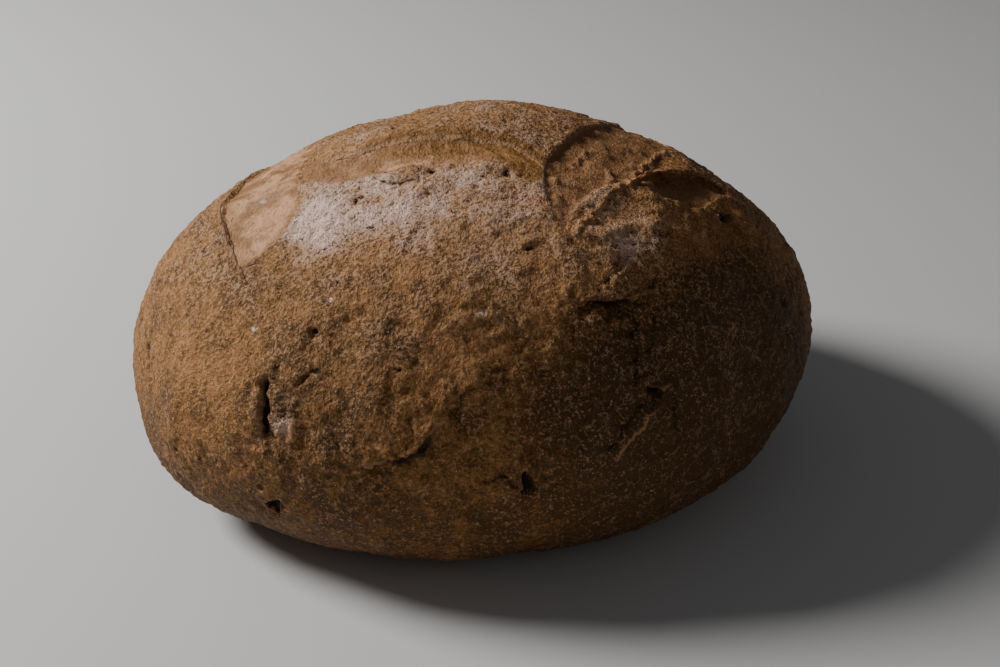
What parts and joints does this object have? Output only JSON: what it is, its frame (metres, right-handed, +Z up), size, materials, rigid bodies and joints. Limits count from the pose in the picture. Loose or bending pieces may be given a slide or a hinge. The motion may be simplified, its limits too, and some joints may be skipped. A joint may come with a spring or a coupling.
{
  "type": "country loaf",
  "caption": "Oval crusty country loaf with a high floured dome, wide scores round a raised middle, small torn flakes on its flanks and a flat base.",
  "frame": {"origin": "middle of the loaf's box, at the flat base it rests on", "axes": "+X along the loaf, -Y towards its best side, +Z up"},
  "size_m": [0.2512, 0.1966, 0.1316],
  "materials": {
    "crust": "golden-brown baked crust, dry and matt, dusted with pale flour on top"
  },
  "bodies": {
    "root": {"loaf": "crust"}
  },
  "joints": []
}
